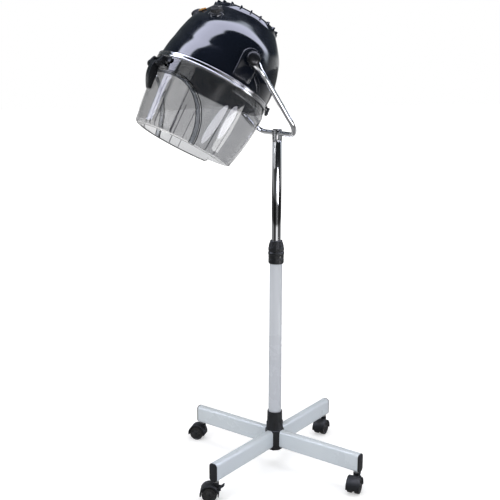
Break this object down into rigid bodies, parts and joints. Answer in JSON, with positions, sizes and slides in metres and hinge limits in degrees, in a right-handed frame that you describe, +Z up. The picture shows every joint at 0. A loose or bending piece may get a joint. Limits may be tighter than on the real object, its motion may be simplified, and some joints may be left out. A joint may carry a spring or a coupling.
{
  "type": "hood hair dryer on stand",
  "caption": "Hood hair dryer with a smoked visor and lifting flap, tilting in a chrome yoke on a height-adjustable stand with casters.",
  "frame": {"origin": "middle of the bounding box at floor level", "axes": "+Z up, -Y towards the front of the hood, +X towards the timer dial"},
  "size_m": [0.542, 0.6202, 1.2485],
  "materials": {
    "white_paint": "smooth satin powder coat",
    "chrome": "polished",
    "steel": "zinc plated",
    "black_plastic": "fine grained",
    "gloss_black": "polished",
    "smoked_acrylic": "clear smoked tint",
    "wheel_rubber": "worn tread",
    "amber_lens": "moulded lens",
    "mica_board": "layered sheet"
  },
  "bodies": {
    "base": {"hub": "black_plastic", "hub_bolt": "steel", "pole_plug": "steel", "lower_pole": "white_paint", "leg_right": "white_paint", "leg_rear": "white_paint", "leg_left": "white_paint", "leg_front": "white_paint", "leg_cap_right": "black_plastic", "leg_cap_rear": "black_plastic", "leg_cap_left": "black_plastic", "leg_cap_front": "black_plastic", "caster_stem_right": "steel", "caster_stem_rear": "steel", "caster_stem_left": "steel", "caster_stem_front": "steel", "collar_body": "black_plastic", "collet": "black_plastic"},
    "collar_nut": {"collar_nut": "black_plastic"},
    "guide": {"mast_guide": "black_plastic"},
    "mast": {"mast": "chrome", "yoke_fork": "chrome", "yoke": "chrome", "fork_pin": "steel"},
    "hood": {"casing": "gloss_black", "top_cap": "gloss_black", "trim_ring": "chrome", "visor": "smoked_acrylic", "hinge_bracket": "black_plastic", "hinge_pin": "steel", "pivot_bolt_left": "steel", "pivot_bolt_right": "steel", "timer": "steel", "heat_switch": "steel", "lamp_lens": "amber_lens", "air_bowl": "gloss_black", "heater": "mica_board", "motor": "steel", "motor_brace": "steel"},
    "fan": {"fan": "steel"},
    "flap": {"visor_flap": "smoked_acrylic", "flap_handle": "black_plastic"},
    "timer_dial": {"timer_dial": "black_plastic"},
    "heat_dial": {"heat_dial": "black_plastic"},
    "pivot_knob_left": {"pivot_knob_left": "black_plastic"},
    "pivot_knob_right": {"pivot_knob_right": "black_plastic"},
    "caster_right": {"caster_housing_right": "black_plastic"},
    "wheel_right_a": {"caster_wheel_right_a": "wheel_rubber"},
    "wheel_right_b": {"caster_wheel_right_b": "wheel_rubber"},
    "caster_rear": {"caster_housing_rear": "black_plastic"},
    "wheel_rear_a": {"caster_wheel_rear_a": "wheel_rubber"},
    "wheel_rear_b": {"caster_wheel_rear_b": "wheel_rubber"},
    "caster_left": {"caster_housing_left": "black_plastic"},
    "wheel_left_a": {"caster_wheel_left_a": "wheel_rubber"},
    "wheel_left_b": {"caster_wheel_left_b": "wheel_rubber"},
    "caster_front": {"caster_housing_front": "black_plastic"},
    "wheel_front_a": {"caster_wheel_front_a": "wheel_rubber"},
    "wheel_front_b": {"caster_wheel_front_b": "wheel_rubber"},
    "brake_lever_right": {"brake_lever_right": "black_plastic"},
    "brake_lever_front": {"brake_lever_front": "black_plastic"}
  },
  "joints": [
    {"name": "mast_slide", "type": "slide", "parent": "base", "child": "guide", "axis": [0, 0, 1], "range_m": [-0.24, 0.15]},
    {"name": "mast_swivel", "type": "hinge", "parent": "guide", "child": "mast", "pos_m": [0, 0.062, 0.4], "axis": [0, 0, 1], "continuous": true},
    {"name": "collar_nut_turn", "type": "hinge", "parent": "base", "child": "collar_nut", "pos_m": [0, 0.062, 0.62], "axis": [0, 0, 1], "range_deg": [0, 90]},
    {"name": "hood_tilt", "type": "hinge", "parent": "mast", "child": "hood", "pos_m": [0, -0.082, 1.1048], "axis": [1, 0, 0], "range_deg": [-30, 22]},
    {"name": "flap_hinge", "type": "hinge", "parent": "hood", "child": "flap", "pos_m": [0, -0.26461, 1.09543], "axis": [-1, 0, 0], "range_deg": [0, 95]},
    {"name": "fan_spin", "type": "hinge", "parent": "hood", "child": "fan", "pos_m": [0, -0.04893, 1.16422], "axis": [0, 0.4863, 0.8738], "continuous": true},
    {"name": "timer_dial_turn", "type": "hinge", "parent": "hood", "child": "timer_dial", "pos_m": [0.05829, -0.13044, 1.20958], "axis": [0.4059, -0.255, 0.8776], "range_deg": [-300, 0]},
    {"name": "heat_dial_turn", "type": "hinge", "parent": "hood", "child": "heat_dial", "pos_m": [-0.05829, -0.13044, 1.20958], "axis": [-0.4059, -0.255, 0.8776], "range_deg": [-180, 0]},
    {"name": "pivot_knob_left_turn", "type": "hinge", "parent": "hood", "child": "pivot_knob_left", "pos_m": [-0.165, -0.082, 1.1048], "axis": [-1, 0, 0], "range_deg": [-270, 0]},
    {"name": "pivot_knob_right_turn", "type": "hinge", "parent": "hood", "child": "pivot_knob_right", "pos_m": [0.165, -0.082, 1.1048], "axis": [1, 0, 0], "range_deg": [-270, 0]},
    {"name": "caster_right_swivel", "type": "hinge", "parent": "base", "child": "caster_right", "pos_m": [0.23069, 0.18621, 0.05], "axis": [0, 0, 1], "continuous": true},
    {"name": "wheel_right_a_roll", "type": "hinge", "parent": "caster_right", "child": "wheel_right_a", "pos_m": [0.24139, 0.17432, 0.02], "axis": [0.7431, 0.6691, 0], "continuous": true},
    {"name": "wheel_right_b_roll", "type": "hinge", "parent": "caster_right", "child": "wheel_right_b", "pos_m": [0.24139, 0.17432, 0.02], "axis": [0.7431, 0.6691, 0], "continuous": true},
    {"name": "caster_rear_swivel", "type": "hinge", "parent": "base", "child": "caster_rear", "pos_m": [-0.12421, 0.29269, 0.05], "axis": [0, 0, 1], "continuous": true},
    {"name": "wheel_rear_a_roll", "type": "hinge", "parent": "caster_rear", "child": "wheel_rear_a", "pos_m": [-0.11503, 0.27958, 0.02], "axis": [0.8191, 0.5736, 0], "continuous": true},
    {"name": "wheel_rear_b_roll", "type": "hinge", "parent": "caster_rear", "child": "wheel_rear_b", "pos_m": [-0.11503, 0.27958, 0.02], "axis": [0.8191, 0.5736, 0], "continuous": true},
    {"name": "caster_left_swivel", "type": "hinge", "parent": "base", "child": "caster_left", "pos_m": [-0.23069, -0.06221, 0.05], "axis": [0, 0, 1], "continuous": true},
    {"name": "wheel_left_a_roll", "type": "hinge", "parent": "caster_left", "child": "wheel_left_a", "pos_m": [-0.24097, -0.07447, 0.02], "axis": [0.766, -0.6428, 0], "continuous": true},
    {"name": "wheel_left_b_roll", "type": "hinge", "parent": "caster_left", "child": "wheel_left_b", "pos_m": [-0.24097, -0.07447, 0.02], "axis": [0.766, -0.6428, 0], "continuous": true},
    {"name": "caster_front_swivel", "type": "hinge", "parent": "base", "child": "caster_front", "pos_m": [0.12421, -0.16869, 0.05], "axis": [0, 0, 1], "continuous": true},
    {"name": "wheel_front_a_roll", "type": "hinge", "parent": "caster_front", "child": "wheel_front_a", "pos_m": [0.11695, -0.18294, 0.02], "axis": [0.891, -0.454, 0], "continuous": true},
    {"name": "wheel_front_b_roll", "type": "hinge", "parent": "caster_front", "child": "wheel_front_b", "pos_m": [0.11695, -0.18294, 0.02], "axis": [0.891, -0.454, 0], "continuous": true},
    {"name": "brake_lever_right_press", "type": "hinge", "parent": "caster_right", "child": "brake_lever_right", "pos_m": [0.22332, 0.19439, 0.034], "axis": [0.7431, 0.6691, 0], "range_deg": [-35, 0]},
    {"name": "brake_lever_front_press", "type": "hinge", "parent": "caster_front", "child": "brake_lever_front", "pos_m": [0.12921, -0.15888, 0.034], "axis": [0.891, -0.454, 0], "range_deg": [-35, 0]}
  ]
}
